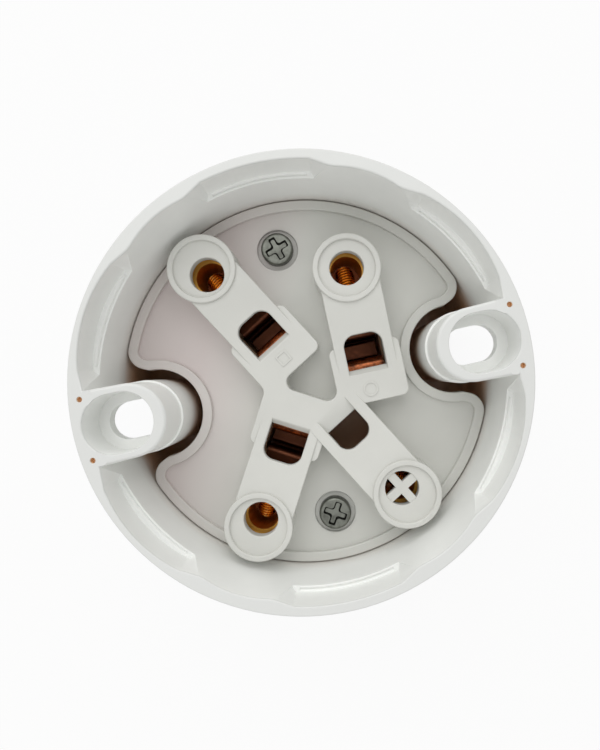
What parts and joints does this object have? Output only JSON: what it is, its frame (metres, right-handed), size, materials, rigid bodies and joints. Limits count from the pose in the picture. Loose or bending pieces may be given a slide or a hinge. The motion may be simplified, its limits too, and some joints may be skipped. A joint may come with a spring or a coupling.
{
  "type": "surface socket outlet",
  "caption": "Round surface-mounted mains socket outlet lying on its face, wiring side up, with a deep rimmed shell, mounting towers, a plate of terminal arms and clamping screws.",
  "frame": {"origin": "centre of the front face, which the socket lies on, wiring side up", "axes": "+Z from the front face to the rear rim; +X towards the mounting tower on the earth pin's side; +Y towards the upper plate screw"},
  "size_m": [0.066, 0.066, 0.034],
  "materials": {
    "shell_plastic": "moulded white, satin gloss",
    "plate_plastic": "moulded white, satin gloss",
    "terminal_brass": "machined",
    "screw_brass": "rolled thread",
    "contact_copper": "pressed phosphor bronze strip, coppery",
    "zinc_steel": "dull zinc plate"
  },
  "bodies": {
    "housing": {"shell": "shell_plastic", "back_plate": "plate_plastic", "active_terminal": "terminal_brass", "neutral_terminal": "terminal_brass", "loop_terminal": "terminal_brass", "earth_terminal": "terminal_brass", "active_contact": "contact_copper", "neutral_contact": "contact_copper", "earth_contact": "contact_copper", "plate_screw_upper": "zinc_steel", "plate_screw_lower": "zinc_steel"},
    "active_clamp": {"active_screw": "screw_brass"},
    "neutral_clamp": {"neutral_screw": "screw_brass"},
    "loop_clamp": {"loop_screw": "screw_brass"},
    "earth_clamp": {"earth_screw": "screw_brass"}
  },
  "joints": [
    {"name": "active_clamping", "type": "slide", "parent": "housing", "child": "active_clamp", "axis": [-0.433, 0.75, -0.5], "range_m": [-0.0043, 0.0003]},
    {"name": "neutral_clamping", "type": "slide", "parent": "housing", "child": "neutral_clamp", "axis": [-0.433, -0.75, -0.5], "range_m": [-0.0043, 0.0003]},
    {"name": "loop_clamping", "type": "slide", "parent": "housing", "child": "loop_clamp", "axis": [0.433, -0.75, -0.5], "range_m": [-0.0043, 0.0003]},
    {"name": "earth_clamping", "type": "slide", "parent": "housing", "child": "earth_clamp", "axis": [0, 0.866, -0.5], "range_m": [-0.0043, 0.0003]}
  ]
}
